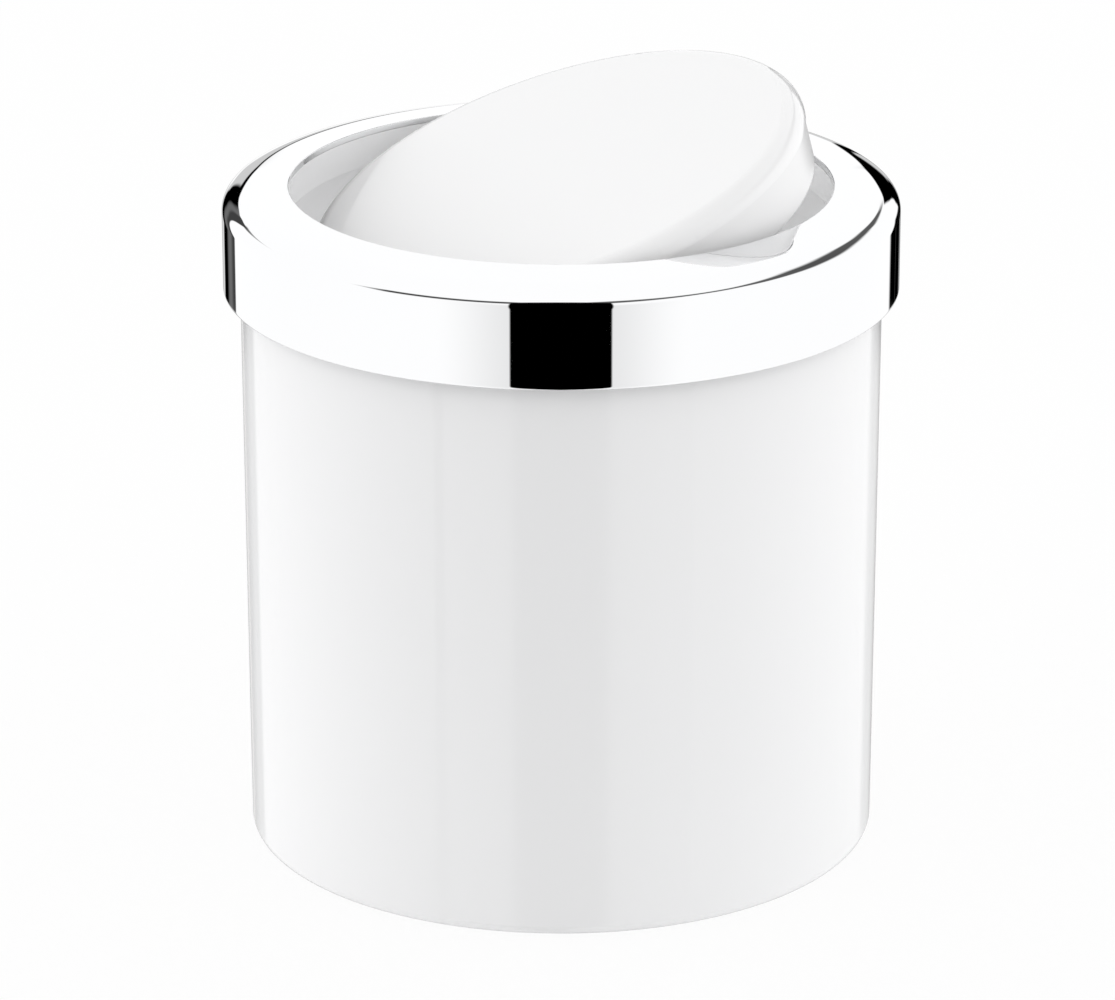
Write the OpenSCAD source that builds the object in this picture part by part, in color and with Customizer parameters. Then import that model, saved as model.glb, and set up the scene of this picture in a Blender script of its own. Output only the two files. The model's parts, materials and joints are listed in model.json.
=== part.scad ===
// Countertop bin with a chrome rim and a swing lid.
// Origin: centre of the base, on the surface that the bin stands on. +Z is up.
// The lid's hinge line runs along X. The lid is drawn swung open by lid_tilt, its rear (+Y) half raised.

/* [Tub] */
// Outer diameter of the tub at its rim
tub_top_d = 186.4; // [176:0.2:230]
// Outer diameter of the tub at its base
tub_base_d = 184.4; // [150:0.2:200]
// Wall thickness of the tub
tub_wall = 2.2; // [1.6:0.1:2.6]
// Thickness of the tub's floor
floor_t = 2.2; // [1.8:0.1:4]
// Radius of the bottom edge, outside
base_edge_r = 3; // [1:0.5:4]
// Radius of the bottom edge, inside
floor_edge_r = 5; // [2:0.5:10]
// Width of the ring that the tub stands on
foot_ring_w = 17; // [16.5:0.5:30]
// How far the middle of the base is raised inside that ring
base_recess = 2.2; // [1:0.1:5]

/* [Rim ring] */
// Height of the ring's lip above the surface that the bin stands on
lip_h = 197.5; // [150:0.5:300]
// How far the ring stands out past the tub's rim
ring_overhang = 4.8; // [4:0.1:9]
// Width of the ring's top, from its outer face in to the mouth
ring_top_w = 19.3; // [18.7:0.1:26]
// Wall thickness of the ring
ring_wall = 1.5; // [1:0.1:1.8]
// Height from the lip down to the lower edge of the band
band_drop = 30.3; // [18:0.1:45]
// Radius of the ring's outer shoulder
shoulder_r = 5; // [2.5:0.5:6.5]
// Outward fall of the ring's top face, in degrees
top_fall = 8; // [3:0.5:9]
// Outer diameter of the ring's screw bosses
ring_boss_d = 6.4; // [5:0.2:6.6]

/* [Lid frame] */
// Wall thickness of the frame
frame_wall = 2; // [1.5:0.1:2.2]
// Height from the lip down to the collar's lower edge
collar_drop = 11; // [10.5:0.5:20]
// Height from the lip down to the flange's underside, which sits on the tub's rim
seat_drop = 10; // [9.6:0.1:14]
// Length of the spigot that plugs into the tub
spigot_l = 16; // [8:0.5:30]
// Radial gap between the spigot and the tub
spigot_gap = 0.3; // [0.2:0.05:0.6]
// Thickness of the webs that stiffen the collar
web_t = 1.4; // [1:0.1:2]

/* [Lid] */
// Radial gap between the lid and the mouth
lid_gap = 4.1; // [3.7:0.1:6]
// Height of the whole lid, cap and pan
lid_h = 21; // [19:0.5:26]
// Height of the cap, from the top face to the parting line
cap_h = 6; // [5.6:0.1:6.4]
// Radius of the cap's shoulder
cap_shoulder_r = 5.4; // [3:0.2:5.4]
// Wall thickness of the cap and the pan
lid_wall = 2; // [1.6:0.1:2.4]
// Step from the cap's side in to the pan's side at the parting line
seam_step = 0.4; // [0.2:0.1:0.8]
// How much smaller the pan's radius is at its lower edge
pan_taper = 1.2; // [0.4:0.1:2]
// Radius of the pan's lower edge
pan_edge_r = 1.6; // [0.5:0.1:2.5]
// Height of the level lid's top face above the ring's lip
lid_proud = 4.6; // [4.5:0.1:5]
// Angle that the lid is drawn at, from level, in degrees
lid_tilt = 19.4; // [0:0.1:60]
// Depth of the tongue that centres the cap in the pan
tongue_l = 2.4; // [1.5:0.1:4]
// Thickness of that tongue
tongue_t = 1.4; // [1:0.1:2]
// Distance of the lid's screws from the lid's edge
lid_boss_inset = 16.6; // [13:0.2:18]
// Outer diameter of the cap's screw bosses
lid_boss_d = 7; // [6:0.2:9]
// Height of the pan's screw wells
well_h = 7; // [5:0.5:9]
// Wall thickness of a screw well
well_wall = 1.5; // [1.2:0.1:2.5]

/* [Pivots] */
// Height from the ring's lip down to the hinge line
pivot_drop = 4.5; // [4.4:0.1:4.8]
// Diameter of a pivot pin
pin_d = 3; // [2.4:0.1:3.2]
// Length of a pivot pin inside the lid, from the pan's side inwards
pin_grip = 12; // [6:0.5:16]
// Outer diameter of a bush's sleeve
bush_d = 4.6; // [4.4:0.1:4.8]
// Length of a bush's sleeve in its cradle
bush_l = 4.2; // [3:0.1:6]
// Diameter of a bush's flange
bush_flange_d = 6.4; // [5.6:0.1:7]
// Thickness of a bush's flange
bush_flange_t = 1.1; // [0.8:0.1:1.3]
// Thickness of the wall that closes a cradle, and of its sides
cradle_wall = 1.2; // [1:0.1:3]
// Thickness of the wall round a pin in the lid
tower_wall = 3; // [2:0.1:4]

/* [Stops] */
// Swing from level to each stop, in degrees
stop_angle = 75; // [65:1:80]
// Distance from the hinge line down to the near side of the lid's stop lug
lug_near = 5; // [4.5:0.1:6]
// Height of the lug
lug_h = 3; // [2:0.1:4]
// Width of the lug
lug_w = 3; // [2:0.1:4]
// Width of the collar's stop ribs
rib_w = 2; // [1.5:0.1:2]

/* [Ballast] */
// Length of a ballast bar
bar_l = 60; // [40:1:66]
// Width of a ballast bar
bar_w = 14; // [10:0.5:18]
// Thickness of a ballast bar
bar_t = 4; // [2:0.5:5]
// Distance of a ballast bar's middle from the hinge line
bar_offset = 28; // [22:0.5:34]
// Distance between a bar's two posts
post_span = 30; // [20:1:36]
// Diameter of a ballast post
post_d = 4; // [3:0.1:5]
// How far a post stands up through its bar
post_proud = 2.2; // [1.4:0.1:3]
// Outer diameter of a push-on nut
nut_d = 8.8; // [7:0.2:10]
// Thickness of a push-on nut
nut_t = 0.7; // [0.4:0.1:1.2]

/* [Feet] */
// Diameter of a foot pad
pad_d = 12; // [8:0.5:12.5]
// Thickness of a foot pad
pad_t = 1.8; // [1.4:0.1:2.2]
// How far a foot pad stands out of the base
pad_proud = 0.8; // [0.6:0.1:1.2]
// Bevel round a foot pad's lower face
pad_bevel = 0.4; // [0.2:0.1:0.6]

/* [Screws] */
// Diameter of a screw's shank
screw_d = 2.9; // [2.2:0.1:3]
// Length of a lid screw under its head
lid_screw_l = 8; // [6:0.5:10]
// Diameter of a screw's head
head_d = 5.4; // [4.6:0.1:5.6]
// Height of a screw's head
head_t = 1.8; // [1.2:0.1:2.2]
// Length of the arms of the cross slot, end to end
slot_l = 3; // [2:0.1:3.6]
// Width of those arms
slot_w = 0.7; // [0.5:0.1:1]
// Depth of the cross slot
slot_h = 1; // [0.6:0.1:1.1]

/* [Clearances] */
// Radial running gap between a pin and its bush
pin_gap = 0.05; // [0.02:0.01:0.1]
// Radial gap round a piece that is pressed or dropped into its place
slip = 0.02; // [0.01:0.01:0.05]
// Gap between pieces that lie close and don't bear on each other
seat_gap = 0.2; // [0.1:0.05:0.3]
// Gap between pieces that move past each other
run_gap = 0.3; // [0.2:0.05:0.3]

/* [Hidden] */
$fn = 96;
round_fn = 180;

// How far a cutter runs past what it cuts, and how far a rib runs into what carries it
over = 1;

// Heights of the tub
tub_z = pad_proud;
rim_z = lip_h - seat_drop;
floor_z = tub_z + base_recess + floor_t;

// Tub
tub_top_r = tub_top_d / 2;
tub_base_r = tub_base_d / 2;
foot_in_r = tub_base_r - foot_ring_w;
floor_step = 0.6 * floor_t;
pad_ring_r = tub_base_r - base_edge_r - (foot_ring_w - base_edge_r) / 2;
function tub_out(z) = tub_base_r + (tub_top_r - tub_base_r) * (z - tub_z) / (rim_z - tub_z);
function tub_in(z) = tub_out(z) - tub_wall;

// Ring and mouth. The top of the ring falls outwards from a round nose to the shoulder
ring_r = tub_top_r + ring_overhang;
mouth_r = ring_r - ring_top_w;
band_z = lip_h - band_drop;
nose_r = ring_wall / 2;
nose = [mouth_r + nose_r, lip_h - nose_r];
fall = [sin(top_fall), cos(top_fall)];
shoulder_x = ring_r - shoulder_r;
fall_run = (shoulder_x + shoulder_r * fall[0] - nose[0] - nose_r * fall[0]) / cos(top_fall);
crest = [shoulder_x + shoulder_r * fall[0], nose[1] + nose_r * fall[1] - fall_run * sin(top_fall)];
shoulder_z = crest[1] - shoulder_r * fall[1];
function under_ring(r) = nose[1] - nose_r / cos(top_fall) - (r - nose[0]) * tan(top_fall);

// Lid frame
flange_top = rim_z + frame_wall;
flange_r = ring_r - ring_wall - run_gap;
collar_r = mouth_r + frame_wall;
collar_top = under_ring(collar_r) - seat_gap;
collar_z = lip_h - collar_drop;
spigot_z = rim_z - spigot_l;
function spigot_out(z) = tub_in(z) - spigot_gap;
ring_screw_r = (mouth_r + spigot_out(rim_z)) / 2;
ring_screw_l = under_ring(ring_screw_r) - over - rim_z;
screw_angles = [45, 135, 225, 315];
web_angles = [22.5, 67.5, 112.5, 157.5, 202.5, 247.5, 292.5, 337.5];

// Lid, in its own frame: the hinge line is its X axis, and the lid is level
pivot_z = lip_h - pivot_drop;
top_z = lid_proud + pivot_drop;
seam_z = top_z - cap_h;
pan_z = top_z - lid_h;
lid_r = mouth_r - lid_gap;
pan_top_r = lid_r - seam_step;
pan_base_r = pan_top_r - pan_taper;
pan_floor_z = pan_z + lid_wall;
cap_under_z = top_z - lid_wall;
function pan_out(z) = pan_base_r + (pan_top_r - pan_base_r) * (z - pan_z) / (seam_z - pan_z);
function pan_in(z) = pan_out(z) - lid_wall;
tongue_r = pan_in(seam_z - tongue_l) - run_gap;
lid_screw_r = lid_r - lid_boss_inset;
well_d = head_d + 4 * seat_gap;
well_top_z = pan_z + well_h;
well_seat_z = well_top_z - well_wall;
post_places = [-post_span / 2, post_span / 2];

// Pivots, measured along the hinge line from the bin's axis
bush_back_x = mouth_r - run_gap;
bush_front_x = bush_back_x - bush_flange_t;
bush_end_x = bush_back_x + seat_gap + frame_wall + bush_l - cradle_wall;
cradle_in_x = bush_end_x + seat_gap;
cradle_end_x = cradle_in_x + cradle_wall;
cradle_w = bush_d + 5 * cradle_wall;
cradle_top = under_ring(cradle_end_x) - seat_gap;
stub_x = bush_front_x - run_gap;
pin_in_x = pan_base_r - pin_grip;
pin_l = bush_end_x - pin_in_x;
tower_w = pin_d + 2 * tower_wall;
tower_x = pan_base_r - lid_wall / 2;
tower_top_z = seam_z + over;
rib_x = lid_r + 3 * run_gap;

// Half outline of a drafted round body whose lower edge has radius edge
module drafted(r0, r1, z0, z1, edge) {
  draft = atan((r1 - r0) / (z1 - z0));
  c = [r0 + (r1 - r0) * edge / (z1 - z0) - edge / cos(draft), z0 + edge];
  intersection() {
    translate(c) circle(edge);
    translate([0, z0]) square([2 * r0, z1 - z0]);
  }
  polygon([[0, z0], [c[0], z0], c + edge * [cos(draft), -sin(draft)], [r1, z1], [0, z1]]);
}

// A disc whose first end is bevelled
module bevelled(d, h, bevel) {
  cylinder(d1 = d - 2 * bevel, d2 = d, h = bevel);
  translate([0, 0, bevel]) cylinder(d = d, h = h - bevel);
}

// A pan-head screw that points up, its bearing face at z = 0
module screw(shank_l) {
  tip = screw_d / 3;
  difference() {
    union() {
      translate([0, 0, -head_t]) bevelled(head_d, head_t, head_t / 4);
      cylinder(d = screw_d, h = shank_l - tip);
      translate([0, 0, shank_l - tip]) cylinder(d1 = screw_d, d2 = screw_d / 2, h = tip);
    }
    for (a = [0, 90]) rotate([0, 0, a])
      translate([-slot_l / 2, -slot_w / 2, -head_t - over]) cube([slot_l, slot_w, over + slot_h]);
  }
}

// Places its children in the swung lid
module in_lid() { translate([0, 0, pivot_z]) rotate([lid_tilt, 0, 0]) children(); }

// Places its children at angle a and distance r from the bin's axis
module around(r, a) { rotate([0, 0, a]) translate([r, 0, 0]) children(); }

// Lays its children along the hinge line at distance x from the bin's axis, their Z axis outwards
module on_hinge(x) { translate([x, 0, 0]) rotate([0, 90, 0]) children(); }

module tub() {
  color("white") difference() {
    rotate_extrude($fn = round_fn) difference() {
      drafted(tub_base_r, tub_top_r, tub_z, rim_z, base_edge_r);
      difference() {
        drafted(tub_in(tub_z + floor_t), tub_in(rim_z + over), tub_z + floor_t, rim_z + over, floor_edge_r);
        // The floor is raised over the recess in the base
        polygon([[0, tub_z], [foot_in_r + floor_step, tub_z], [foot_in_r + floor_step, tub_z + floor_t],
          [foot_in_r + floor_step - base_recess / 2, floor_z], [0, floor_z]]);
      }
      polygon([[0, tub_z - over], [foot_in_r, tub_z - over], [foot_in_r, tub_z],
        [foot_in_r - base_recess / 2, tub_z + base_recess], [0, tub_z + base_recess]]);
    }
    // Seats of the foot pads
    for (a = screw_angles) around(pad_ring_r, a)
      translate([0, 0, tub_z - over]) cylinder(d = pad_d + 2 * seat_gap, h = over + pad_t - pad_proud);
  }
}

module foot_pad(a) { color("gainsboro") around(pad_ring_r, a) bevelled(pad_d, pad_t, pad_bevel); }

// Half outline of the space under the ring's outer face, drawn in by inset. It is cut square to the
// falling top at the nose, and more lengthens it past both of the skin's ends
module ring_fill(inset, more) {
  start = nose + (nose_r - inset) * fall - more * [fall[1], -fall[0]];
  low = band_z + nose_r - more;
  translate([shoulder_x, shoulder_z]) circle(shoulder_r - inset);
  polygon([start, crest - inset * fall, [shoulder_x, shoulder_z], [ring_r - inset, shoulder_z],
    [ring_r - inset, low], [start[0] - (start[1] - low) * tan(top_fall), low]]);
}

// Half outline of the ring: band, shoulder, falling top and round lip, all of one wall
module ring_outline() {
  difference() {
    ring_fill(0, 0);
    ring_fill(ring_wall, over);
  }
  translate([ring_r - nose_r, band_z + nose_r]) circle(nose_r);
  translate(nose) circle(nose_r);
}

module rim_ring() {
  color("silver") difference() {
    union() {
      rotate_extrude($fn = round_fn) ring_outline();
      // Screw bosses, which stand on the frame's flange and end inside the falling top
      intersection() {
        for (a = screw_angles) around(ring_screw_r, a)
          translate([0, 0, flange_top]) cylinder(d = ring_boss_d, h = lip_h - flange_top);
        rotate_extrude($fn = round_fn)
          polygon([[0, 0], [crest[0], 0], crest - nose_r * fall, nose, [0, nose[1]]]);
      }
    }
    for (a = screw_angles) around(ring_screw_r, a)
      translate([0, 0, flange_top - over])
        cylinder(d = screw_d + 2 * pin_gap, h = rim_z + ring_screw_l + over / 2 - flange_top + over);
  }
}

// Turns its children to the place that the lid's lug reaches at the end of its swing to one side
module at_stop(side) { rotate([side * stop_angle, 0, 0]) children(); }

// One end of the hinge on the frame: the cradle's block, and the two ribs that the lug meets
module cradle() {
  translate([mouth_r + frame_wall / 2, -cradle_w / 2, rim_z])
    cube([cradle_end_x - mouth_r - frame_wall / 2, cradle_w, cradle_top - rim_z]);
  translate([0, 0, pivot_z]) for (side = [-1, 1]) at_stop(side)
    translate([rib_x, side > 0 ? lug_w / 2 + slip : -lug_w / 2 - slip - rib_w, -lug_near - lug_h])
      cube([mouth_r + frame_wall / 2 - rib_x, rib_w, lug_h]);
}

// The seat that a bush drops into from above
module cradle_seat() {
  seat_l = cradle_in_x - mouth_r + over;
  translate([0, 0, pivot_z]) {
    on_hinge(mouth_r - over) cylinder(d = bush_d + 2 * slip, h = seat_l);
    translate([mouth_r - over, -bush_d / 2 - slip, 0]) cube([seat_l, bush_d + 2 * slip, pivot_drop]);
  }
}

module lid_frame() {
  color("whitesmoke") difference() {
    union() {
      rotate_extrude($fn = round_fn) {
        translate([mouth_r, collar_z]) square([frame_wall, collar_top - collar_z]);
        translate([mouth_r, rim_z]) square([flange_r - mouth_r, frame_wall]);
        // Spigot, with a lead-in on its outer face
        polygon([[spigot_out(spigot_z) - frame_wall, spigot_z],
          [spigot_out(spigot_z) - frame_wall / 2, spigot_z],
          [spigot_out(spigot_z + 2 * frame_wall), spigot_z + 2 * frame_wall],
          [spigot_out(rim_z), rim_z], [spigot_out(rim_z), flange_top],
          [spigot_out(rim_z) - frame_wall, flange_top]]);
      }
      for (a = web_angles) rotate([0, 0, a]) rotate([90, 0, 0]) translate([0, 0, -web_t / 2])
        linear_extrude(web_t) polygon([[collar_r - frame_wall / 2, rim_z + frame_wall / 2],
          [spigot_out(rim_z), rim_z + frame_wall / 2], [collar_r, collar_top - over],
          [collar_r - frame_wall / 2, collar_top - over]]);
      for (turn = [0, 180]) rotate([0, 0, turn]) cradle();
    }
    for (turn = [0, 180]) rotate([0, 0, turn]) cradle_seat();
    for (a = screw_angles) around(ring_screw_r, a)
      translate([0, 0, rim_z - over]) cylinder(d = screw_d + 2 * seat_gap, h = frame_wall + 2 * over);
  }
}

module pivot_bush(turn) {
  color("ivory") rotate([0, 0, turn]) translate([0, 0, pivot_z]) difference() {
    union() {
      on_hinge(bush_front_x) cylinder(d = bush_flange_d, h = bush_flange_t);
      on_hinge(bush_front_x) cylinder(d = bush_d, h = bush_end_x - bush_front_x);
    }
    on_hinge(bush_front_x - over)
      cylinder(d = pin_d + 2 * pin_gap, h = bush_end_x - bush_front_x + 2 * over);
  }
}

module ring_screws() {
  color("silver") for (a = screw_angles) around(ring_screw_r, a)
    translate([0, 0, rim_z]) screw(ring_screw_l);
}

module lid_cap() {
  color("white") in_lid() difference() {
    union() {
      // Drawn upside down, so that the shoulder is the drafted body's lower edge
      rotate_extrude($fn = round_fn) mirror([0, 1]) difference() {
        drafted(lid_r, lid_r, -top_z, -seam_z, cap_shoulder_r);
        drafted(lid_r - lid_wall, lid_r - lid_wall, -cap_under_z, -seam_z + over,
          cap_shoulder_r - lid_wall);
      }
      rotate_extrude($fn = round_fn) translate([tongue_r - tongue_t, seam_z - tongue_l])
        square([tongue_t, cap_under_z - seam_z + tongue_l]);
      for (a = screw_angles) around(lid_screw_r, a)
        translate([0, 0, well_top_z]) cylinder(d = lid_boss_d, h = cap_under_z + lid_wall / 2 - well_top_z);
    }
    for (a = screw_angles) around(lid_screw_r, a)
      translate([0, 0, well_top_z - over]) cylinder(d = screw_d + 2 * pin_gap, h = lid_screw_l + over);
    // The tongue gives way to the pivot towers
    for (turn = [0, 180]) rotate([0, 0, turn])
      translate([tongue_r - tongue_t - over, -tower_w / 2 - run_gap, pan_z])
        cube([tongue_t + over + run_gap, tower_w + 2 * run_gap, tower_top_z + seat_gap - pan_z]);
  }
}

// One end of the hinge on the lid: the tower that grips the pin, the stub round it and the stop lug
module tower() {
  translate([pin_in_x, -tower_w / 2, pan_floor_z - lid_wall / 2])
    cube([tower_x - pin_in_x, tower_w, tower_top_z - pan_floor_z + lid_wall / 2]);
  on_hinge(tower_x) cylinder(d = bush_d, h = stub_x - tower_x);
  translate([tower_x, -lug_w / 2, -lug_near - lug_h]) cube([stub_x - tower_x, lug_w, lug_h]);
}

module lid_pan() {
  color("white") in_lid() difference() {
    union() {
      rotate_extrude($fn = round_fn) difference() {
        drafted(pan_base_r, pan_top_r, pan_z, seam_z, pan_edge_r);
        drafted(pan_in(pan_floor_z), pan_in(seam_z + over), pan_floor_z, seam_z + over, pan_edge_r);
      }
      for (a = screw_angles) around(lid_screw_r, a) translate([0, 0, pan_floor_z - lid_wall / 2])
        cylinder(d = well_d + 2 * well_wall, h = well_top_z - pan_floor_z + lid_wall / 2);
      for (side = [-1, 1], x = post_places) translate([x, side * bar_offset, pan_floor_z - lid_wall / 2])
        cylinder(d = post_d, h = lid_wall / 2 + bar_t + post_proud);
      for (turn = [0, 180]) rotate([0, 0, turn]) tower();
      // Spine that ties the two towers together
      translate([-pin_in_x - over, -lid_wall / 2, pan_floor_z - lid_wall / 2])
        cube([2 * (pin_in_x + over), lid_wall, well_h]);
    }
    for (a = screw_angles) around(lid_screw_r, a) {
      translate([0, 0, pan_z - over]) cylinder(d = well_d, h = well_seat_z - pan_z + over);
      translate([0, 0, pan_z]) cylinder(d = screw_d + 2 * seat_gap, h = lid_h);
    }
    for (turn = [0, 180]) rotate([0, 0, turn]) on_hinge(pin_in_x) cylinder(d = pin_d + 2 * slip, h = lid_r);
  }
}

module pivot_pin(turn) {
  color("silver") in_lid() rotate([0, 0, turn]) on_hinge(bush_end_x) mirror([0, 0, 1])
    bevelled(pin_d, pin_l, pin_d / 6);
}

module ballast_bar(side) {
  corner_r = bar_w / 4;
  color("slategray") in_lid() translate([0, side * bar_offset, pan_floor_z]) linear_extrude(bar_t)
    difference() {
      union() {
        square([bar_l - 2 * corner_r, bar_w], center = true);
        square([bar_l, bar_w - 2 * corner_r], center = true);
        for (x = [-1, 1], y = [-1, 1])
          translate([x * (bar_l / 2 - corner_r), y * (bar_w / 2 - corner_r)]) circle(corner_r);
      }
      for (x = post_places) translate([x, 0]) circle(d = post_d + 2 * seat_gap);
    }
}

module bar_nuts(side) {
  color("silver") in_lid() for (x = post_places) translate([x, side * bar_offset, pan_floor_z + bar_t])
    difference() {
      cylinder(d1 = nut_d, d2 = nut_d - 2 * nut_t, h = nut_t);
      translate([0, 0, -over]) cylinder(d = post_d + 2 * slip, h = nut_t + 2 * over);
    }
}

module lid_screws() {
  color("silver") in_lid() for (a = screw_angles) around(lid_screw_r, a)
    translate([0, 0, well_seat_z]) screw(lid_screw_l);
}

tub();
foot_pad(225);  // foot_pad_front_left
foot_pad(315);  // foot_pad_front_right
foot_pad(135);  // foot_pad_rear_left
foot_pad(45);  // foot_pad_rear_right
rim_ring();
lid_frame();
pivot_bush(180);  // left_pivot_bush
pivot_bush(0);  // right_pivot_bush
ring_screws();
lid_cap();
lid_pan();
pivot_pin(180);  // left_pivot_pin
pivot_pin(0);  // right_pivot_pin
ballast_bar(-1);  // front_ballast_bar
ballast_bar(1);  // rear_ballast_bar
bar_nuts(-1);  // front_bar_nuts
bar_nuts(1);  // rear_bar_nuts
lid_screws();
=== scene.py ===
# %% [markdown]
# # A countertop bin with a chrome rim and a swing lid
# The bin is a moulded white tub. A chrome-plated ring covers its rim, and a white lid swings in the ring's
# mouth on two pins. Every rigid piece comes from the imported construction, which is the frame of this scene.
# This lesson gives each piece the finish that its maker gives it, and then builds the small photo studio
# that the chrome mirrors.

# %% Load the frame
import json
import math

import bpy
import numpy as np
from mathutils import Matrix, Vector


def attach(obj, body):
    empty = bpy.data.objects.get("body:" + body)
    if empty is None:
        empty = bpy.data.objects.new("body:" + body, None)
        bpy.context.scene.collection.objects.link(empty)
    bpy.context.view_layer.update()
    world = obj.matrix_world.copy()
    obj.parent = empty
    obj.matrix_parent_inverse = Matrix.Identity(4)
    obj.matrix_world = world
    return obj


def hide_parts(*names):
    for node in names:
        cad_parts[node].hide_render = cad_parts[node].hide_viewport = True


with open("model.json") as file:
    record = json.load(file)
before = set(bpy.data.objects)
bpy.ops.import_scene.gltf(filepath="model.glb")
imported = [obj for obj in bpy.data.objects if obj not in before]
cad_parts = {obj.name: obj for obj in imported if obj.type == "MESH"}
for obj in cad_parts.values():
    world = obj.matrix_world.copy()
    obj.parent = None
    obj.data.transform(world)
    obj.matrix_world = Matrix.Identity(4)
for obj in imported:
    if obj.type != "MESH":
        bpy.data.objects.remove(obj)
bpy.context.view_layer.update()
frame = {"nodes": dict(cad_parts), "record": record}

# %% [markdown]
# ## Where the camera stands
# The bin is seen from a little above. The lid's hinge line runs along X and points away from the camera,
# so the camera stands well round to the right. It could be placed by eye, but the lip, the band and the
# base are circles, and the flatness of their ellipses gives the height of the eye exactly. A long lens from
# far away keeps the two sides of the tub nearly upright.

# %% The camera
IMAGE_WIDTH = 1115
CAMERA_AZIMUTH = math.radians(66.5)
CAMERA_ELEVATION = math.radians(19.86)
CAMERA_DISTANCE = 1.764
FOCAL_LENGTH_IN_PIXELS = 5998
BIN_AXIS_COLUMN = 561.2
SENSOR_WIDTH = 36.0
CLIP_END = 50
AIM = Vector((0.0, 0.0, 0.1))

towards_camera = Vector((
    math.sin(CAMERA_AZIMUTH) * math.cos(CAMERA_ELEVATION),
    -math.cos(CAMERA_AZIMUTH) * math.cos(CAMERA_ELEVATION),
    math.sin(CAMERA_ELEVATION)))
camera_data = bpy.data.cameras.new("camera")
camera_data.sensor_width = SENSOR_WIDTH
camera_data.lens = FOCAL_LENGTH_IN_PIXELS / IMAGE_WIDTH * SENSOR_WIDTH
camera_data.shift_x = (IMAGE_WIDTH / 2 - BIN_AXIS_COLUMN) / IMAGE_WIDTH
camera_data.clip_end = CLIP_END
camera = bpy.data.objects.new("camera", camera_data)
camera.location = AIM + CAMERA_DISTANCE * towards_camera
camera.rotation_mode = "QUATERNION"
camera.rotation_quaternion = (-towards_camera).to_track_quat("-Z", "Y")
bpy.context.scene.collection.objects.link(camera)
bpy.context.scene.camera = camera
print("lens, in millimetres:", round(camera_data.lens, 1))

# %% [markdown]
# ## Arithmetic for finishes
# A finish is a small calculation for every point of a surface: how white it is, how rough, how far it
# stands proud. Blender does it with nodes joined by wires. They could be placed one by one, but a formula
# is easier to read, so this class lets plain Python arithmetic add the nodes. Any node that isn't
# arithmetic comes from its one method, `node`.

# %% A wire that understands arithmetic
class Wire:
    """One output socket in a node tree. A Wire with no socket is the start of a tree."""

    def __init__(self, tree, socket=None):
        self.tree, self.socket = tree, socket

    def node(self, kind, settings=None, sockets=None, output=0):
        """Add a node of this kind, apply its settings, fill or join its sockets, and return its output."""
        made = self.tree.nodes.new("ShaderNode" + kind)
        for name, value in (settings or {}).items():
            if name == "stops":
                ramp = made.color_ramp
                while len(ramp.elements) < len(value):
                    ramp.elements.new(0.5)
                for stop, (place, level) in zip(ramp.elements, value):
                    stop.position, stop.color = place, (level, level, level, 1)
            else:
                setattr(made, name, value)
        for name, value in (sockets or {}).items():
            if isinstance(value, Wire):
                self.tree.links.new(value.socket, made.inputs[name])
            else:
                made.inputs[name].default_value = value
        return Wire(self.tree, made.outputs[output])

    def math(self, operation, first, second=0.0):
        """Add one step of arithmetic, under Blender's own name for it."""
        return self.node("Math", {"operation": operation}, {0: first, 1: second})

    def __add__(self, other):
        return self.math("ADD", self, other)

    def __radd__(self, other):
        return self.math("ADD", other, self)

    def __sub__(self, other):
        return self.math("SUBTRACT", self, other)

    def __rsub__(self, other):
        return self.math("SUBTRACT", other, self)

    def __mul__(self, other):
        return self.math("MULTIPLY", self, other)

    def __rmul__(self, other):
        return self.math("MULTIPLY", other, self)

    def __truediv__(self, other):
        return self.math("DIVIDE", self, other)

    def __rtruediv__(self, other):
        return self.math("DIVIDE", other, self)


print("a wire adds, subtracts, multiplies and divides")

# %% [markdown]
# ## What every finish starts from
# Real surfaces are never quite even. Each finish starts from the place of the point on the bin, in metres,
# and from clouds of noise at the sizes that the real process leaves. `steps` softens a yes-or-no into a
# smooth edge, which keeps the borders of a mark from looking cut with a knife.

# %% Helpers for finishes
def new_finish(name, constants):
    """Return a material, its shader and the start of its tree. Constants go straight onto the shader."""
    material = bpy.data.materials.new(name)
    material.use_nodes = True
    shader = material.node_tree.nodes["Principled BSDF"]
    for socket, value in constants.items():
        shader.inputs[socket].default_value = value
    return material, shader, Wire(material.node_tree)


def place_on_bin(start):
    """The point's place on the bin, in metres."""
    return start.node("TexCoord", output="Object")


def along(place, axis):
    """One of a place's three numbers: its X, its Y or its Z."""
    return place.node("SeparateXYZ", sockets={"Vector": place}, output=axis)


def clouds(place, per_metre, detail=2.0):
    """Noise from 0 to 1 with this many lumps to the metre."""
    return place.node("TexNoise", sockets={"Vector": place, "Scale": per_metre, "Detail": detail},
                      output="Fac")


def steps(value, low, high):
    """0 below low, 1 above high, and a smooth ramp between them."""
    return value.node("MapRange", {"interpolation_type": "SMOOTHSTEP"},
                      {"Value": value, "From Min": low, "From Max": high}, output="Result")


def tinted(start, first, second, mask):
    """The first colour where the mask is 0, the second where it is 1, and a mix of them between."""
    return start.node("Mix", {"data_type": "RGBA"},
                      {"Factor": mask, "A": (*first, 1), "B": (*second, 1)}, output=2)


def join(wire, node, socket):
    """Lead a wire into one of a node's sockets."""
    wire.tree.links.new(wire.socket, node.inputs[socket])


def relief(start, shader, height, depth):
    """Raise the surface by height, a number from 0 to 1, times depth in metres."""
    bumped = start.node("Bump", sockets={"Height": height, "Distance": depth, "Strength": 1.0},
                        output="Normal")
    join(bumped, shader, "Normal")


print("finishes start from a place in metres")

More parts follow.
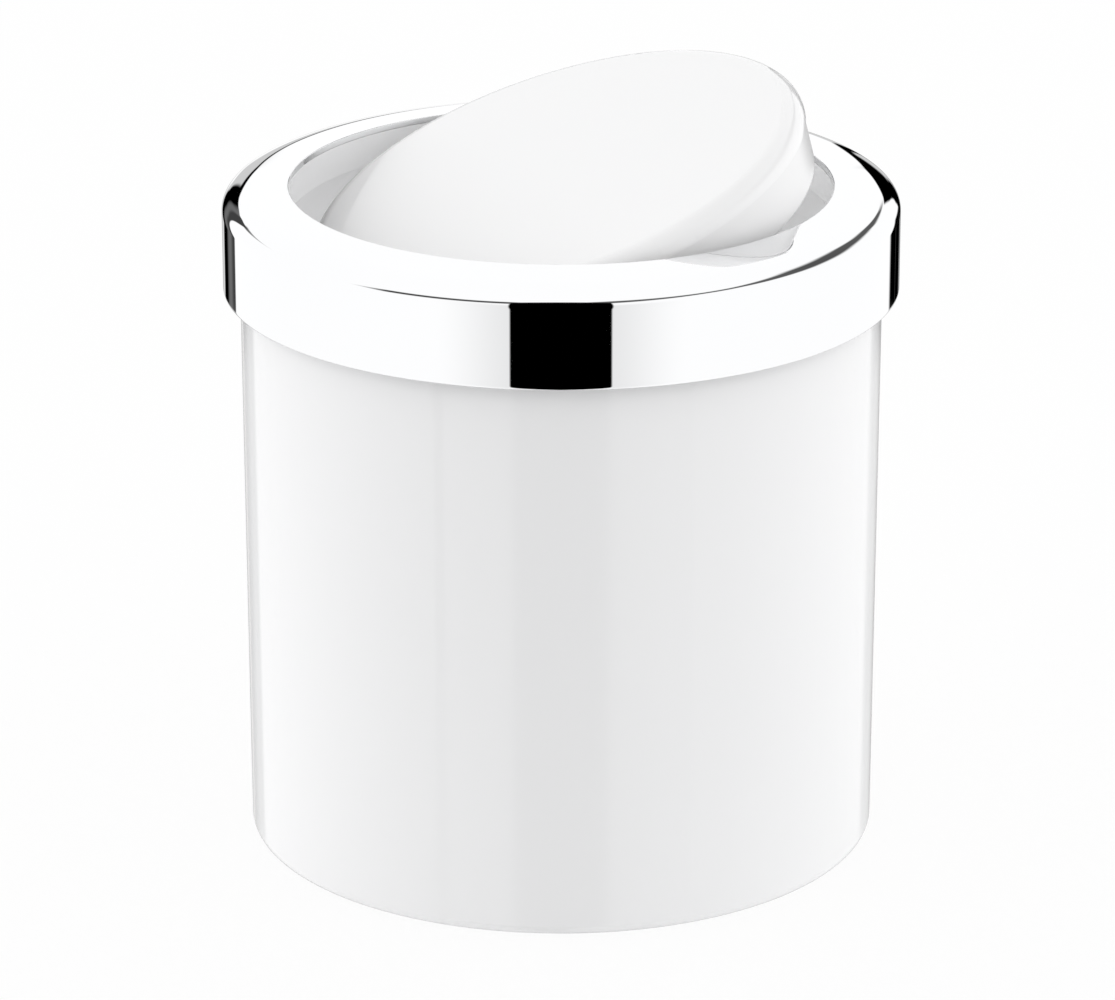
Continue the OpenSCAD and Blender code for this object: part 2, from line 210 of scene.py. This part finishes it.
# %% [markdown]
# ## Glossy white plastic
# The tub, the lid and the frame that carries it are injection moulded in white plastic from polished
# steel moulds. The plastic copies the polish, so the skin is nearly a mirror, but it shrinks as it cools
# and stays very slightly wavy. A flat white would look like paper, so the colour drifts a little where the
# melt flowed, hand marks change the gloss, and a faint waviness bends the reflections. Where the bin is
# touched and set down, round the foot, the gloss is scuffed to satin. White plastic two millimetres thick
# also lets soft light through, so the inside of the bin isn't dark: most of it passes each skin of a wall.
# The lid is two shells. Its pan comes from a plainer mould than its cap, so it is duller below the parting
# line, which runs round the lid level with its face. There the pan is also painted a little greyer: painted
# shade, for the shade on the pan's side, which faces down and sits low in the ring's mouth.

# %% Glossy white plastic
FLOW_PER_METRE = 7.0
HAND_MARKS_PER_METRE = 38.0
HAND_MARK_ROUGHNESS = 0.025
SCUFFS_PER_METRE = 900.0
SCUFF_ROUGHNESS = 0.16
SCUFF_FADE = 0.006
SHRINK_WAVES_PER_METRE = 22.0
SHRINK_DEPTH = 0.00004
LIGHT_THROUGH_SKIN = 0.93
LID_TILT = math.radians(19.4)
HINGE_HEIGHT = 0.193
PARTING_HEIGHT = 0.0031
PARTING_EDGE = 0.0001
# How white the lid's pan stays under its painted shade, below the parting line.
PAN_PAINTED_SHADE_WHITENESS = 0.97
PAN_ROUGHNESS = 0.2


def glossy_white(name, light, dark, polished, scuffed_below=0.0, parted=False):
    """White plastic from light to dark in slow drifts. polished is its roughness where nothing touched it.
    It is scuffed up to a height in metres, and a parted one is duller below the lid's parting line and
    carries
    painted shade there: its colour is made a little greyer."""
    material, shader, start = new_finish(name, {"IOR": 1.5})
    place = place_on_bin(start)
    up = along(place, "Z")
    colour = tinted(start, dark, light, clouds(place, FLOW_PER_METRE))
    hands = steps(clouds(place, HAND_MARKS_PER_METRE, 4.0), 0.52, 0.72)
    scuffs = steps(clouds(place, SCUFFS_PER_METRE, 5.0), 0.45, 0.75)
    worn = 1 - steps(up, scuffed_below, scuffed_below + SCUFF_FADE)
    roughness = polished + HAND_MARK_ROUGHNESS * hands + SCUFF_ROUGHNESS * scuffs * worn
    if parted:
        above_hinge = math.cos(LID_TILT) * (up - HINGE_HEIGHT) - math.sin(LID_TILT) * along(place, "Y")
        pan = 1 - steps(above_hinge, PARTING_HEIGHT - PARTING_EDGE, PARTING_HEIGHT)
        # Painted shade: below the parting line the pan's colour is multiplied a little greyer, for the shade
        # on its downward side.
        pan_painted_shade = tinted(start, (1, 1, 1), (PAN_PAINTED_SHADE_WHITENESS,) * 3, pan)
        colour = start.node("Mix", {"data_type": "RGBA", "blend_type": "MULTIPLY"},
                            {"Factor": 1.0, "A": colour, "B": pan_painted_shade}, output=2)
        roughness = roughness + PAN_ROUGHNESS * pan
    join(colour, shader, "Base Color")
    join(roughness, shader, "Roughness")
    relief(start, shader, clouds(place, SHRINK_WAVES_PER_METRE, 1.0), SHRINK_DEPTH)
    passing = start.node("LightPath", output="Is Diffuse Ray") * LIGHT_THROUGH_SKIN
    skin = Wire(start.tree, shader.outputs["BSDF"])
    see_through = start.node("BsdfTransparent", output="BSDF")
    wall = start.node("MixShader", sockets={0: passing, 1: skin, 2: see_through}, output="Shader")
    join(wall, start.tree.nodes["Material Output"], "Surface")
    return material


finishes = {
    "tub_white": glossy_white("tub_white", light=(0.905, 0.905, 0.91), dark=(0.885, 0.886, 0.893),
                              polished=0.1, scuffed_below=0.004),
    "lid_white": glossy_white("lid_white", light=(0.915, 0.915, 0.918), dark=(0.9, 0.9, 0.904),
                              polished=0.05, parted=True),
    # The frame's white is set a little lighter than the tub's as painted light: it lifts the collar, which
    # sits in shade inside the mouth.
    "frame_white": glossy_white("frame_white", light=(0.915, 0.915, 0.92), dark=(0.9, 0.901, 0.908),
                                polished=0.2),
}
print("white plastics:", sorted(finishes))

# %% [markdown]
# ## Chrome plate
# The ring is moulded plastic too, plated with copper, nickel and last a thin skin of chrome. Chrome is
# almost a perfect mirror with a slightly cold tint. A perfect mirror looks computed, so buffing leaves
# its finest haze in it, dried drops and fingers leave a little more on the flat top, and the plate is not
# perfectly level.

# %% Chrome plate
COLD_TINT, WARM_TINT = (0.925, 0.93, 0.94), (0.955, 0.957, 0.962)
TINT_DRIFT_PER_METRE = 9.0
BUFFED_ROUGHNESS = 0.012
HAZE_PER_METRE = 60.0
HAZE_ROUGHNESS = 0.018
DROPS_PER_METRE = 210.0
DROP_ROUGHNESS = 0.012
PLATE_WAVES_PER_METRE = 30.0
PLATE_WAVE_DEPTH = 0.000004

material, shader, start = new_finish("chrome", {"Metallic": 1.0})
place = place_on_bin(start)
haze = steps(clouds(place, HAZE_PER_METRE, 3.0), 0.5, 0.8)
from_drop = start.node("TexVoronoi", {"feature": "F1"},
                       {"Vector": place, "Scale": DROPS_PER_METRE, "Randomness": 1.0}, output="Distance")
drops = 1 - steps(from_drop, 0.05, 0.16)
join(tinted(start, COLD_TINT, WARM_TINT, clouds(place, TINT_DRIFT_PER_METRE)), shader, "Base Color")
join(BUFFED_ROUGHNESS + HAZE_ROUGHNESS * haze + DROP_ROUGHNESS * drops, shader, "Roughness")
relief(start, shader, clouds(place, PLATE_WAVES_PER_METRE, 1.0), PLATE_WAVE_DEPTH)
finishes["chrome"] = material
print("chrome plate is ready")

# %% [markdown]
# ## Steel
# The two pivot pins and the screws are turned and rolled from wire and plated with zinc. Their tool marks
# run round them, finer than a hair. The ballast bars are sheared from mild steel strip, which is dull grey
# with the blue-black skin of the rolling mill and a brighter, scratched face. Marks that run one way could
# be a picture wrapped round each piece. Noise squeezed more along one axis than another needs no wrapping
# and never repeats.

# %% Zinc-plated steel and ballast steel
MILL_SKIN_PER_METRE = 160.0
MILL_SKIN_ROUGHNESS = 0.12
TOOL_MARK_DEPTH = 0.00002


def worn_steel(name, bright, dark, grain, smooth, rough, skin_share):
    """Steel with tool marks. grain is how many there are to the metre along X, Y and Z, so a small number
    draws them out along that axis. skin_share is how much dark mill skin it carries."""
    material, shader, start = new_finish(name, {"Metallic": 1.0})
    place = place_on_bin(start)
    drawn = start.node("Mapping", sockets={"Vector": place, "Scale": grain})
    marks = clouds(drawn, 1.0, 3.0)
    skin = steps(clouds(place, MILL_SKIN_PER_METRE, 5.0), 0.42, 0.62) * skin_share
    join(tinted(start, bright, dark, skin), shader, "Base Color")
    join(smooth + (rough - smooth) * marks + MILL_SKIN_ROUGHNESS * skin, shader, "Roughness")
    relief(start, shader, marks, TOOL_MARK_DEPTH)
    return material


finishes["steel"] = worn_steel(
    "steel", bright=(0.66, 0.66, 0.68), dark=(0.5, 0.5, 0.51), grain=(9000.0, 700.0, 700.0),
    smooth=0.2, rough=0.38, skin_share=0.5)
finishes["ballast_steel"] = worn_steel(
    "ballast_steel", bright=(0.42, 0.43, 0.45), dark=(0.2, 0.21, 0.24), grain=(120.0, 4000.0, 4000.0),
    smooth=0.32, rough=0.55, skin_share=1.0)
print("steels: zinc plated and ballast")

# %% [markdown]
# ## Bushes and feet
# The bushes are natural acetal, a waxy cream plastic that steel slides on without oil. The feet are soft
# grey rubber, moulded matte so that they grip, and their undersides pick up dust. Both are dull for the
# same reason, fine pits that scatter the light, so one function makes them both.

# %% Acetal and rubber
MOTTLE_PER_METRE = 45.0
PIT_ROUGHNESS = 0.12


def matte(name, light, dark, rough, pits_per_metre, pit_depth, light_in_skin):
    """A soft matte finish. Pits this many to the metre roughen it, and some light spreads in its skin."""
    material, shader, start = new_finish(
        name, {"Subsurface Weight": light_in_skin, "Subsurface Radius": (0.002, 0.002, 0.0016),
               "Subsurface Scale": 1.0})
    place = place_on_bin(start)
    pits = clouds(place, pits_per_metre, 4.0)
    join(tinted(start, dark, light, clouds(place, MOTTLE_PER_METRE, 4.0)), shader, "Base Color")
    join(rough + PIT_ROUGHNESS * pits, shader, "Roughness")
    relief(start, shader, pits, pit_depth)
    return material


finishes["bush_acetal"] = matte(
    "bush_acetal", light=(0.86, 0.85, 0.81), dark=(0.82, 0.81, 0.76), rough=0.36,
    pits_per_metre=1500.0, pit_depth=0.00002, light_in_skin=0.1)
finishes["pad_rubber"] = matte(
    "pad_rubber", light=(0.58, 0.58, 0.58), dark=(0.46, 0.46, 0.47), rough=0.72,
    pits_per_metre=2600.0, pit_depth=0.00006, light_in_skin=0.0)
print("matte finishes: acetal and rubber")

# %% [markdown]
# ## Each piece takes its finish
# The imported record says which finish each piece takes. The pieces keep their shape and their place, and
# only what fills their material slot changes.

# %% Dress the pieces
for part in frame["record"]["subparts"]:
    piece = frame["nodes"][part["node"]]
    piece.data.materials.clear()
    piece.data.materials.append(finishes[part["material_slot"]])

# %% [markdown]
# ## The chrome ring
# The ring is one moulding: an upright band, a round shoulder, a top that falls outwards and a thin lip
# round the mouth. Four hollow bosses under the top take the screws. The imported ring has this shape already,
# with a plain cone for a top and a full round for a lip. The real top is nearly flat near the mouth and
# bends down more and more as it nears the shoulder. That crown is a third of a millimetre high, which only
# a mirror shows: it pulls the dark line of the room inwards. The real lip is squarer: its face comes down
# to the white collar and leaves only a hair line between them. A mirror would also show every flat facet,
# so the ring is drawn again as one fine surface: its outline, carried round the bin's axis. An outline could
# be turned with Blender's Spin tool. Working the points out with numpy is as short, and closes the seam
# exactly.

# %% A surface of revolution
def arc(centre, radius, first, last, count):
    """Points on a circle, from one angle to another in degrees, counted from outwards towards up. Each is
    the centre plus radius times (cosine, sine)."""
    angle = np.radians(np.linspace(first, last, count))
    return np.stack([centre[0] + radius * np.cos(angle), centre[1] + radius * np.sin(angle)], 1)


def straight(first, last, count):
    """Points between two others, crowded towards both ends so that the round next to them stays round. Each
    one's share of the way is half of one less the cosine of an even angle."""
    share = (1 - np.cos(np.linspace(0, np.pi, count)[1:-1])) / 2
    return first + share[:, None] * (np.asarray(last) - first)


def turned(outline, count, centre=(0.0, 0.0)):
    """Carry a closed outline of (radius, height) round an upright axis: each point becomes
    (radius times cosine, radius times sine, height) at count even angles. Returns points and faces."""
    angle = np.linspace(0, 2 * np.pi, count, endpoint=False)[:, None]
    radius, up = outline[:, 0][None], outline[:, 1][None] + 0 * angle
    points = np.stack([centre[0] + radius * np.cos(angle), centre[1] + radius * np.sin(angle), up], -1)
    i, j = np.meshgrid(np.arange(count), np.arange(len(outline)), indexing="ij")
    after, below = (i + 1) % count, (j + 1) % len(outline)
    faces = np.stack([i * len(outline) + j, i * len(outline) + below,
                      after * len(outline) + below, after * len(outline) + j], -1)
    return points.reshape(-1, 3), faces.reshape(-1, 4)


def smooth_piece(name, shells, finish, body):
    """One smooth object from several closed shells of points and faces, riding on a body."""
    starts = np.cumsum([0] + [len(points) for points, _ in shells[:-1]])
    points = np.concatenate([points for points, _ in shells])
    faces = np.concatenate([faces + first for (_, faces), first in zip(shells, starts)])
    mesh = bpy.data.meshes.new(name)
    mesh.from_pydata(points.tolist(), [], faces.tolist())
    mesh.shade_smooth()
    mesh.materials.append(finishes[finish])
    piece = bpy.data.objects.new(name, mesh)
    bpy.context.scene.collection.objects.link(piece)
    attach(piece, body)
    print(name, "has", len(faces), "faces")
    return piece


# %% [markdown]
# The outline is a cut through one side of the ring, in distance from the axis and height. It could be drawn
# as a curve with handles. A toolmaker draws it as circles and straight faces that touch, and so does this
# cell, because then every point follows from a few sizes. It goes from the lip's foot up its face, over the
# flat, the crown and the shoulder, down the band, round its lower edge and back along the inside.

# %% The ring's outline, in metres and degrees
RING_RADIUS = 0.098
MOUTH_RADIUS = 0.0787
LIP_HEIGHT = 0.1975
BAND_LOW = 0.1672
RING_WALL = 0.0015
LIP_CORNER = 0.00025
LIP_FOOT = 0.19569
LIP_FOOT_CORNER = 0.0001
LIP_FOOT_WIDTH = 0.0013
SHOULDER = 0.005
TOP_FALL = 8.0
FLAT_FALL = 6.0
CROWN_END = 22.0


def facing(degrees):
    """The direction at this angle, counted from outwards towards up."""
    return arc(np.zeros(2), 1.0, degrees, degrees, 1)[0]


def touching(faces, reach, radius, across):
    """The centre, this far across, of a circle that touches a straight face from below. The face looks
    along faces and lies reach from the origin that way, so the centre lies reach less radius that way."""
    return np.array([across, (reach - radius - faces[0] * across) / faces[1]])


lip = RING_WALL / 2
nose = np.array([MOUTH_RADIUS + lip, LIP_HEIGHT - lip])
top_faces, flat_faces, crown_faces = facing(90 - TOP_FALL), facing(90 - FLAT_FALL), facing(90 - CROWN_END)
flat_reach = flat_faces @ nose + lip
shoulder = touching(top_faces, top_faces @ nose + lip, SHOULDER, RING_RADIUS - SHOULDER)
corner = touching(flat_faces, flat_reach, LIP_CORNER, MOUTH_RADIUS + LIP_CORNER)
foot_corner = np.array([MOUTH_RADIUS, LIP_FOOT]) + LIP_FOOT_CORNER
low_round = np.array([RING_RADIUS - lip, BAND_LOW + lip])
crown_turn = flat_faces @ crown_faces
crown_radius = (flat_reach - flat_faces @ shoulder - SHOULDER * crown_turn) / (1 - crown_turn)

lip_foot = nose - lip * top_faces + LIP_FOOT_WIDTH * facing(-TOP_FALL)
foot_arc = arc(foot_corner, LIP_FOOT_CORNER, 270 - TOP_FALL / 2, 180, 8)
corner_arc = arc(corner, LIP_CORNER, 180, 90 - FLAT_FALL, 14)
crown_arc = arc(shoulder + (SHOULDER - crown_radius) * crown_faces, crown_radius,
                90 - FLAT_FALL, 90 - CROWN_END, 24)
outer_arc = arc(shoulder, SHOULDER, 90 - CROWN_END, 0, 40)
low_arc = arc(low_round, lip, 0, -180, 18)
inner_arc = arc(shoulder, SHOULDER - RING_WALL, 0, 90 - TOP_FALL, 18)
ring_outline = np.concatenate([
    lip_foot[None], foot_arc, straight(foot_arc[-1], corner_arc[0], 8),
    corner_arc, straight(corner_arc[-1], crown_arc[0], 10),
    crown_arc, outer_arc[1:], straight(outer_arc[-1], low_arc[0], 14),
    low_arc, straight(low_arc[-1], inner_arc[0], 10),
    inner_arc, straight(inner_arc[-1], lip_foot, 8)])
print("ring outline:", len(ring_outline), "points; the crown's radius is", round(crown_radius, 5))

# %% [markdown]
# The bosses are four short tubes that hang under the top and take the screws. They could be joined to the
# ring with a Boolean. They are turned by the same function as the ring instead, each about its own axis,
# and end just below the outer face. The five shells are one object, because they are one moulding.

# %% The ring and its bosses
RING_STEPS = 540
BOSS_STEPS = 48
BOSS_FOOT = 0.1895
BOSS_CIRCLE = 0.0847
BOSS_RADIUS = 0.0032
BOSS_BORE = 0.0015
BOSS_BELOW_FACE = 0.0003
BOSS_ANGLES = (45, 135, 225, 315)

face_fall = (BOSS_CIRCLE + BOSS_RADIUS - nose[0]) * top_faces[0] / top_faces[1]
boss_top = nose[1] + lip * top_faces[1] - face_fall - BOSS_BELOW_FACE
boss_outline = np.array([(BOSS_RADIUS, boss_top), (BOSS_RADIUS, BOSS_FOOT),
                         (BOSS_BORE, BOSS_FOOT), (BOSS_BORE, boss_top)])
ring_shells = [turned(ring_outline, RING_STEPS)]
for degrees in BOSS_ANGLES:
    ring_shells.append(turned(boss_outline, BOSS_STEPS, BOSS_CIRCLE * facing(degrees)))
ring = smooth_piece("chrome_ring", ring_shells, "chrome", "top")
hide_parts("rim_ring")

# %% [markdown]
# ## The studio
# Chrome has no look of its own: it shows the room. A studio for white and chrome things is a white tent
# with a gap that the lens looks through. The tent is bright overhead and at the sides. The gap shows in the
# band as one black upright stripe. The seam between the side panels and the roof draws the thin black line
# along the ring's shoulder, and two dark cards behind the bin draw its edges. Real panels could be hung
# round the bin, but a sky is simpler: it gives the brightness of the room in each direction, as an azimuth
# round the bin from the lens, to the right of it positive, and a height above the horizon, in degrees.

# %% Directions in the studio
DEGREES = 180 / math.pi
TOWARDS_LENS = (math.sin(CAMERA_AZIMUTH), -math.cos(CAMERA_AZIMUTH), 0)
RIGHT_OF_LENS = (math.cos(CAMERA_AZIMUTH), math.sin(CAMERA_AZIMUTH), 0)

world = bpy.data.worlds.new("studio")
world.use_nodes = True
bpy.context.scene.world = world
tree = world.node_tree
tree.nodes.clear()
start = Wire(tree)
heading = start.node("TexCoord", output="Generated")
dot = {"operation": "DOT_PRODUCT"}
ahead = start.node("VectorMath", dot, {0: heading, 1: TOWARDS_LENS}, output="Value")
across = start.node("VectorMath", dot, {0: heading, 1: RIGHT_OF_LENS}, output="Value")
upward = along(heading, "Z")
azimuth = DEGREES * start.math("ARCTAN2", across, ahead)
height = DEGREES * start.math("ARCSINE", upward)
print("directions are azimuth and height, in degrees")

# %% [markdown]
# A card, a seam or the gap is a number in each direction: 0 where the tent is white, 1 where it is black. A
# few comparisons give a card its straight edges. The seam sags and swells as it goes round the tent, so
# stops give its height, its half width and its darkness. All this could be painted as a picture of the
# room, but numbers stay sharp at any size and are easy to move.

# %% What cards are made from
def between(value, low, high, soft):
    """1 from low to high and 0 outside, with edges this soft."""
    return steps(value, low - soft, low + soft) * (1 - steps(value, high - soft, high + soft))


def line(value, stops, most):
    """Straight pieces through (azimuth, number) stops, none of them above most."""
    placed = [((a + 180) / 360, n / most) for a, n in stops]
    curve = value.node("ValToRGB", {"stops": placed}, {"Fac": (value + 180) / 360}, output="Color")
    return curve * most


def larger(first, second):
    """The larger of two numbers. Of two cards that overlap, the darker."""
    return first.math("MAXIMUM", first, second)


def smaller(first, second):
    """The smaller of two numbers."""
    return first.math("MINIMUM", first, second)


def unsigned(value):
    """The number without its sign."""
    return value.math("ABSOLUTE", value)


rear = unsigned(azimuth)
on_left = 1 - steps(azimuth, -1, 1)
on_right = 1 - on_left
print("cards are numbers from 0 to 1")

# %% [markdown]
# The lens looks through the gap, whose top is lower at its sides. The seam is about a dozen degrees wide in
# front, wider to the right of the bin and narrow behind it. On the left the roof hangs over the side panel
# and hides it, and straight behind the bin there is none.

# %% The gap and the seam
GAP_LEFT, GAP_RIGHT, GAP_EDGE = -17.1, 16.9, 0.4
GAP_TOP = (30, 36)
GAP_ROUNDING = 0.03
SEAM_HEIGHT = [(-148, 21.8), (-118, 25), (-75, 9), (-20, 21), (20, 26.5), (60, 28.5), (85, 32.2), (104, 35),
               (133, 35.8), (146, 33.5), (155, 30), (160.7, 25.4), (167, 17.3)]
SEAM_HALF_WIDTH = [(-149, 2.6), (-118, 0), (-75, 0), (-60, 6), (20, 7), (50, 4), (65, 4), (85, 7.3),
                   (100, 10), (117, 9.4), (150, 5.5), (158, 3.8), (164, 1.6), (168, 1)]
SEAM_DARKNESS = [(-153, 0), (-149, 0.85), (-143, 0.85), (-120, 0), (-75, 0), (-60, 0.95), (20, 0.9),
                 (60, 0.88), (110, 0.92), (165, 0.9), (167.5, 0)]
SEAM_EDGE = (0.5, 1.2)
NEVER_ZERO = 0.01

rounded_height = height + GAP_ROUNDING * azimuth * azimuth
lens_gap = between(azimuth, GAP_LEFT, GAP_RIGHT, GAP_EDGE) * (1 - steps(rounded_height, *GAP_TOP))
seam_half_width = line(azimuth, SEAM_HALF_WIDTH, 10) + NEVER_ZERO
off_seam = unsigned(height - line(azimuth, SEAM_HEIGHT, 40)) / seam_half_width
seam = line(azimuth, SEAM_DARKNESS, 1) * (1 - steps(off_seam, *SEAM_EDGE))
print("the gap spans", GAP_RIGHT - GAP_LEFT, "degrees")

# %% [markdown]
# Two black flags stand behind the bin, one on each side, and outline its bright edges. Each has a sloping
# top and a side that faces the other flag, with a solid rim along both. They could be plain rectangles, but
# the left and right ends of the ring mirror these slopes as slanted black shapes.

# %% The shape of the flags
FLAG_TOP = [(145, 23.8), (157.5, 22.2), (162.5, 20), (165, 17.8), (167.6, 16), (170, 15), (174, 13.5)]
FLAG_TOP_EDGE = (0, 0.5)
FLAG_SIDE, FLAG_SIDE_EDGE = 173.8, 0.25
LEFT_FLAG_WIDER, LEFT_FLAG_CORNER = 0.95, 9.8
LEFT_SLOPE_BELOW, LEFT_SLOPE_ABOVE = 0.48, 0.29
RIM_AT_TOP, RIM_AT_SIDE, RIM_EDGE = 2.4, 1.3, (0.8, 1.2)
LEFT_RIM_STARTS = (1, 5)

below_top = line(rear, FLAG_TOP, 30) - height
below_corner = LEFT_FLAG_CORNER - height
left_wider = LEFT_FLAG_WIDER + LEFT_SLOPE_BELOW * larger(below_corner, 0.0) \
    + LEFT_SLOPE_ABOVE * smaller(below_corner, 0.0)
inside_side = FLAG_SIDE + on_left * left_wider - rear
flag = steps(below_top, *FLAG_TOP_EDGE) * steps(inside_side, -FLAG_SIDE_EDGE, FLAG_SIDE_EDGE)
rim = 1 - steps(smaller(below_top / RIM_AT_TOP, inside_side / RIM_AT_SIDE), *RIM_EDGE)
rim = rim * larger(steps(height, *LEFT_RIM_STARTS), on_right)
print("two flags stand behind the bin")

# %% [markdown]
# Inside the rim, towards the middle, the cloth of the flags is thinner and lets light through. The right
# flag's outer side leans, and another card stands low beside it. A low wall, as grey as the thin cloth,
# closes the space between the flags on the right. All of it could be as black as the rim, but the real
# ring's ends are grey in places.

# %% The right flag and what is below it
LEAN, LEANS_ABOVE = 0.5, 2
RIGHT_OUTER_SIDE = (156.7, 158.3)
THIN_RIGHT_FROM, THIN_RIGHT_TOP = (166.3, 168.7), (2.5, 5.5)
THIN_CLOTH_LOSES = 0.6
UNDER_CARD_FROM, UNDER_CARD_TO, UNDER_CARD_EDGE, UNDER_CARD_TOP = 149, 159, 1.5, (-7, -3)
WALL_DARKNESS, WALL_TOP = 0.4, (1, 5)

lean = LEAN * larger(height - LEANS_ABOVE, 0.0)
low_right = on_right * steps(azimuth, *THIN_RIGHT_FROM)
thin_right = low_right * (1 - steps(height, *THIN_RIGHT_TOP)) * (1 - rim)
right_flag = steps(azimuth - lean, *RIGHT_OUTER_SIDE) * (1 - THIN_CLOTH_LOSES * thin_right)
under_right = between(azimuth, UNDER_CARD_FROM, UNDER_CARD_TO, UNDER_CARD_EDGE) \
    * (1 - steps(height, *UNDER_CARD_TOP))
wall_right = WALL_DARKNESS * low_right * (1 - steps(height, *WALL_TOP))
print("the right flag is placed")

# %% [markdown]
# The left flag has a leaning fold in it, which is a little less black, and low down, towards the middle, it
# is open. It could be the right one's mirror image, but the bin's two sides don't look alike. The tub is
# lower than the ring and sees past about half of the cards, so they count for less below the ring.

# %% The left flag and what the tub sees
LEFT_OUTER_SIDE = (144.9, 146.1)
FOLD_FROM, FOLD_TO, FOLD_EDGE, FOLD_LOSES = 149.5, 155, 2, 0.09
OUTER_CLOTH_TO, OUTER_CLOTH_LOSES = (155, 157), 0.05
THIN_LEFT_FROM = (163, 164.6)
OPEN_FROM, OPEN_TOP = (165, 167.5), (-2, 2)
TUB_SEES, TUB_SEES_MORE_ON_LEFT = 0.4, 0.18
RING_STARTS = (-18.8, -17.9)

leftward = 0 - azimuth
leaning = leftward - lean
fold = between(leaning, FOLD_FROM, FOLD_TO, FOLD_EDGE)
outer_cloth = 1 - steps(leaning, *OUTER_CLOTH_TO)
thin_left = steps(leaning, *THIN_LEFT_FROM) * (1 - rim)
opened = steps(leftward, *OPEN_FROM) * (1 - steps(height, *OPEN_TOP))
left_flag = steps(leftward, *LEFT_OUTER_SIDE) * (1 - OUTER_CLOTH_LOSES * outer_cloth - FOLD_LOSES * fold)
left_flag = left_flag * (1 - thin_left * (THIN_CLOTH_LOSES + (1 - THIN_CLOTH_LOSES) * opened))

tub_sees = TUB_SEES + TUB_SEES_MORE_ON_LEFT * on_left
seen_by_piece = tub_sees + (1 - tub_sees) * steps(height, *RING_STARTS)
print("the left flag is placed")

# %% [markdown]
# The chrome and the gloss see the cards sharply. The soft light that falls on the white plastic comes from
# the same room, dimmer from the lens side, where the photographer stands. The camera itself sees plain
# white, as a cut-out picture has. Lamps could light the white plastic, but the chrome would mirror each of
# them, so the sky answers each kind of ray in its own way.

# %% The sky
TENT_BRIGHTNESS = 1.05
LOW_BEHIND_DIMS, BESIDE_LENS_DIMS = 0.5, 0.2
PANEL_LIGHT, ROOF_LIGHT = 1.84, 0.62
LENS_SIDE_DIMS, REAR_DIMS = 0.86, 0.35

flags = flag * larger(left_flag, right_flag)
low_cards = larger(larger(flags, under_right), wall_right)
dark = larger(larger(lens_gap, seam), seen_by_piece * low_cards)
low_behind = steps(rear, 165, 169) * (1 - steps(height, -14, -6))
beside_lens = (1 - steps(rear, 12, 44)) * (1 - steps(height, 0, 14))
mirrored = TENT_BRIGHTNESS * (1 - dark) * (1 - LOW_BEHIND_DIMS * low_behind)
mirrored = mirrored * (1 - BESIDE_LENS_DIMS * beside_lens)
roof = steps(upward, 0.6, 0.85)
lens_side = steps(ahead, 0.45, 0.97)
rear_side = 1 - steps(ahead, -0.9, -0.2)
panels = PANEL_LIGHT * (1 - LENS_SIDE_DIMS * lens_side) * (1 - REAR_DIMS * rear_side)
soft_light = panels + roof * (ROOF_LIGHT - panels)


def glow(brightness):
    """A white sky of this brightness."""
    return start.node("Background", sockets={"Color": (1, 1, 1, 1), "Strength": brightness},
                      output="Background")


def chosen(ray, otherwise, wanted):
    """The wanted sky for this kind of ray, and the other one for the rest."""
    is_wanted = start.node("LightPath", output=ray)
    return start.node("MixShader", sockets={0: is_wanted, 1: otherwise, 2: wanted}, output="Shader")


sky = chosen("Is Camera Ray", chosen("Is Diffuse Ray", glow(mirrored), glow(soft_light)), glow(1.0))
join(sky, tree.nodes.new("ShaderNodeOutputWorld"), "Surface")
bpy.context.scene.view_settings.view_transform = "Standard"
print("the sky is lit")

# %% [markdown]
# ## The floor
# The bin stands on a light table: a wide white sheet lit from below, which evens out the light on the tub.
# It catches the bin's shadow, which a cut-out picture almost loses, so for the camera the sheet is mostly
# plain white. A mirror sees past the sheet to the room beyond it, because the real table is small. A small
# sheet could be drawn instead, but then its edge would show.

# %% The floor
FLOOR_HALF = 4.0
FLOOR_DARK, FLOOR_LIGHT = (0.93, 0.93, 0.93), (0.95, 0.95, 0.95)
FLOOR_CLOUDS_PER_METRE = 3.0
PLAIN_WHITE_SHARE = 0.92
TABLE_GLOW_SHARE = 0.55

corners = FLOOR_HALF * np.array([(-1, -1, 0), (1, -1, 0), (1, 1, 0), (-1, 1, 0)])
sheet = bpy.data.meshes.new("floor")
sheet.from_pydata(corners.tolist(), [], [(0, 1, 2, 3)])
floor = bpy.data.objects.new("floor", sheet)
bpy.context.scene.collection.objects.link(floor)
material, shader, start = new_finish("floor", {"Roughness": 0.8, "Specular IOR Level": 0.0})
drift = clouds(place_on_bin(start), FLOOR_CLOUDS_PER_METRE)
join(tinted(start, FLOOR_DARK, FLOOR_LIGHT, drift), shader, "Base Color")
lit = Wire(start.tree, shader.outputs["BSDF"])
plain_white = start.node("Emission", sockets={"Color": (1, 1, 1, 1), "Strength": 1.0}, output="Emission")
see_through = start.node("BsdfTransparent", output="BSDF")
white_share = start.node("LightPath", output="Is Camera Ray") * PLAIN_WHITE_SHARE \
    + start.node("LightPath", output="Is Diffuse Ray") * TABLE_GLOW_SHARE
sheet_white = start.node("MixShader", sockets={0: white_share, 1: lit, 2: plain_white}, output="Shader")
mirror_ray = start.node("LightPath", output="Is Glossy Ray")
for_all = start.node("MixShader", sockets={0: mirror_ray, 1: sheet_white, 2: see_through}, output="Shader")
join(for_all, start.tree.nodes["Material Output"], "Surface")
sheet.materials.append(material)
print("the floor is", 2 * FLOOR_HALF, "metres wide")
